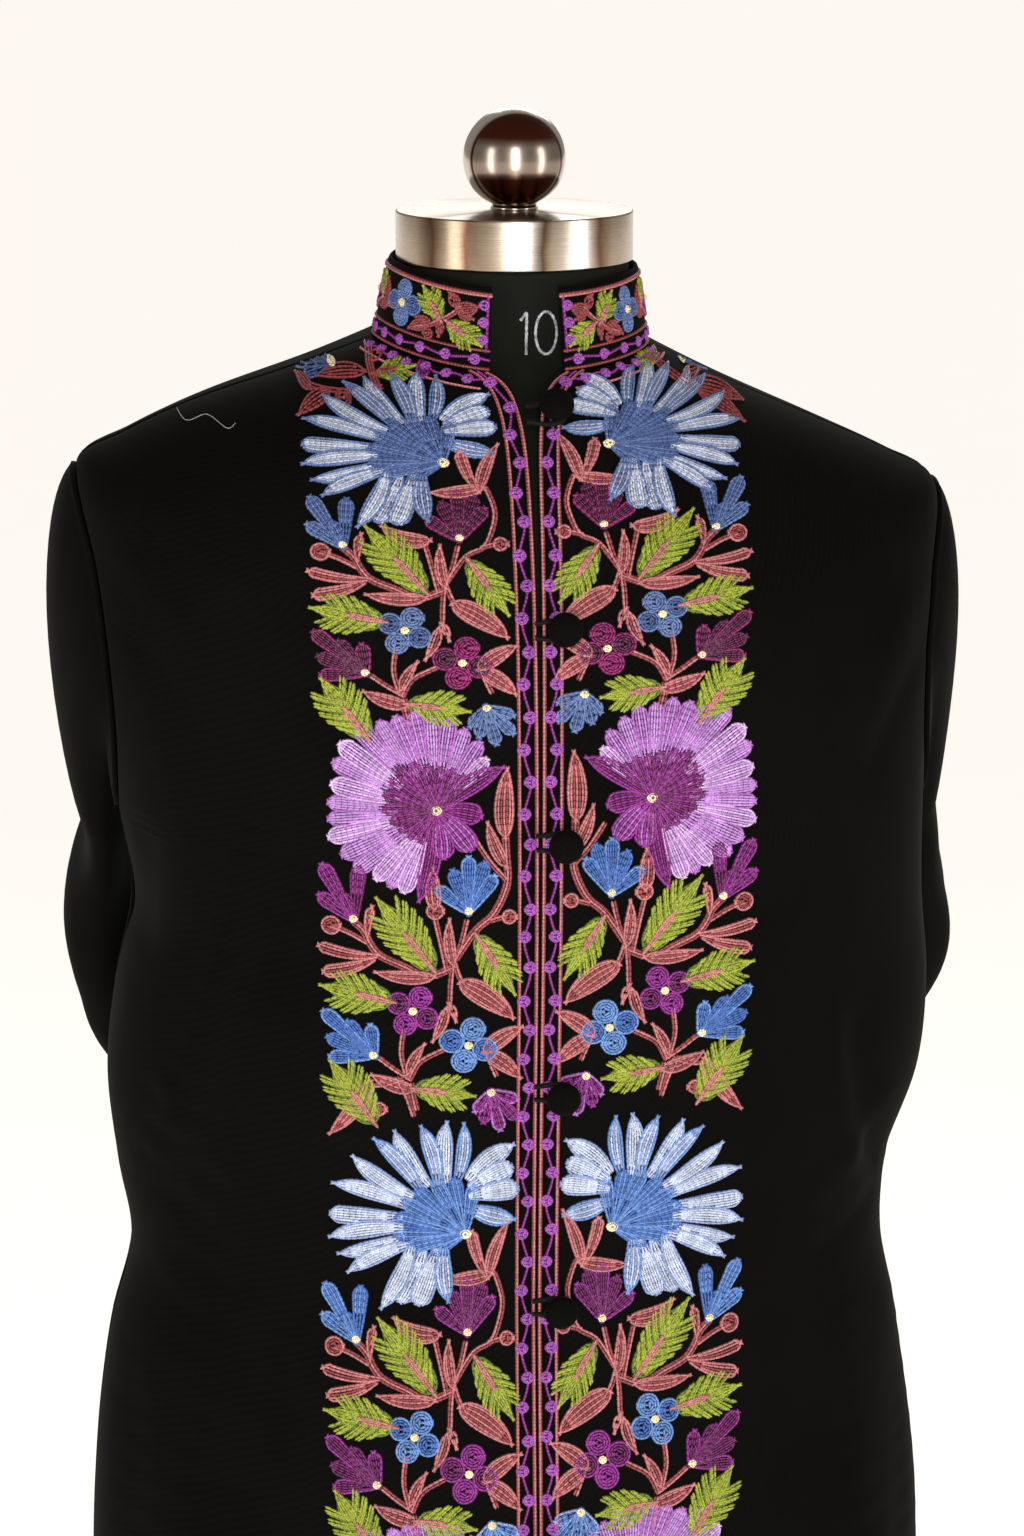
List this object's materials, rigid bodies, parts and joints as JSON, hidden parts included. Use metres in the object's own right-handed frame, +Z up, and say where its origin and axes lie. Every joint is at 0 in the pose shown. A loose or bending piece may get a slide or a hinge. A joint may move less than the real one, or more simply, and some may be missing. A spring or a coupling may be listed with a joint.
{
  "type": "embroidered jacket on a dress form",
  "caption": "Black long-sleeved stand-collar jacket with crewel-embroidered fronts, looped ball buttons, sleeves drawn back, standing on a limbless dress form with a pole and round base",
  "frame": {"origin": "centre of the underside of the stand's round base", "axes": "+Z up; the jacket's front faces -Y; the wearer's left is +X and the wearer's right is -X"},
  "size_m": [0.4702, 0.38, 1.4576],
  "materials": {
    "cloth": "near-black fine twill with a soft sheen, fronts and collar worked in coloured chain stitch",
    "cord": "black cord",
    "jersey": "black jersey stretched over the form",
    "steel": "brushed steel",
    "polished_steel": "mirror-polished steel",
    "painted_base": "satin black powder coat"
  },
  "bodies": {
    "root": {"front_right": "cloth", "front_left": "cloth", "back": "cloth", "sleeve_right": "cloth", "sleeve_left": "cloth", "collar": "cloth", "button_1": "cloth", "button_2": "cloth", "button_3": "cloth", "button_4": "cloth", "button_5": "cloth", "button_6": "cloth", "button_loop_1": "cord", "button_loop_2": "cord", "button_loop_3": "cord", "button_loop_4": "cord", "button_loop_5": "cord", "button_loop_6": "cord", "dress_form": "jersey", "neck_cap": "steel", "finial": "polished_steel", "pole": "steel", "base": "painted_base"}
  },
  "joints": []
}
